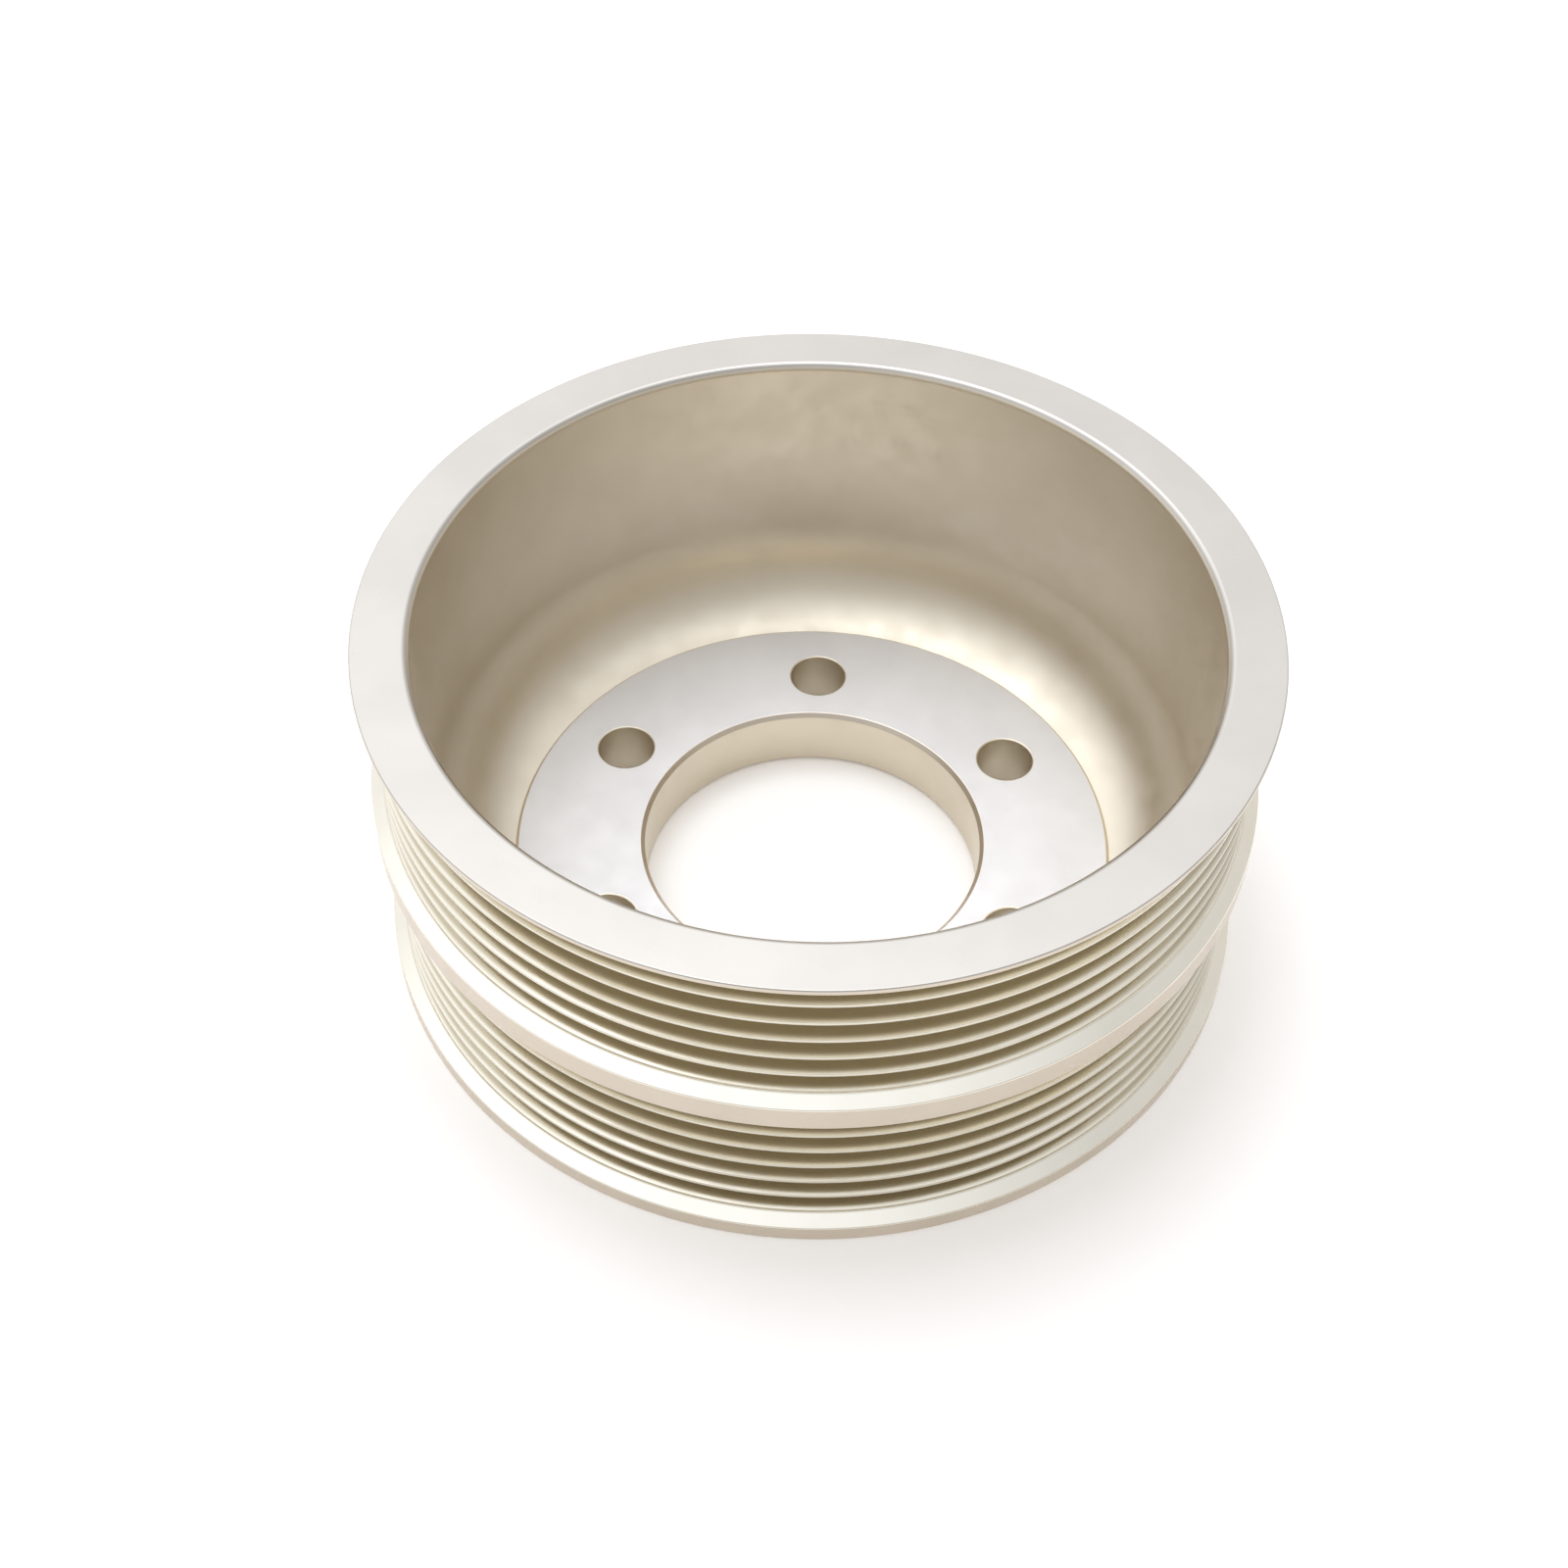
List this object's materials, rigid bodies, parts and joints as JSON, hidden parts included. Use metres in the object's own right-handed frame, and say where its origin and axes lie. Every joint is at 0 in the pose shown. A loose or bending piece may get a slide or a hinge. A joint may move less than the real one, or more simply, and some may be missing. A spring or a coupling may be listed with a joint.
{
  "type": "multi-rib belt pulley",
  "caption": "Deep cup-shaped crank pulley with multi-rib belt tracks between flanges, a central pilot bore and a bolt circle, for an engine's supercharger and accessory belts.",
  "frame": {"origin": "centre of the pilot bore on the rear mounting face", "axes": "+Z along the bore axis, from the rear mounting face towards the open mouth of the cup; one bolt hole lies on +Y"},
  "size_m": [0.126, 0.126, 0.0552],
  "materials": {
    "anodised_aluminium": "satin"
  },
  "bodies": {
    "root": {"pulley_body": "anodised_aluminium"}
  },
  "joints": []
}
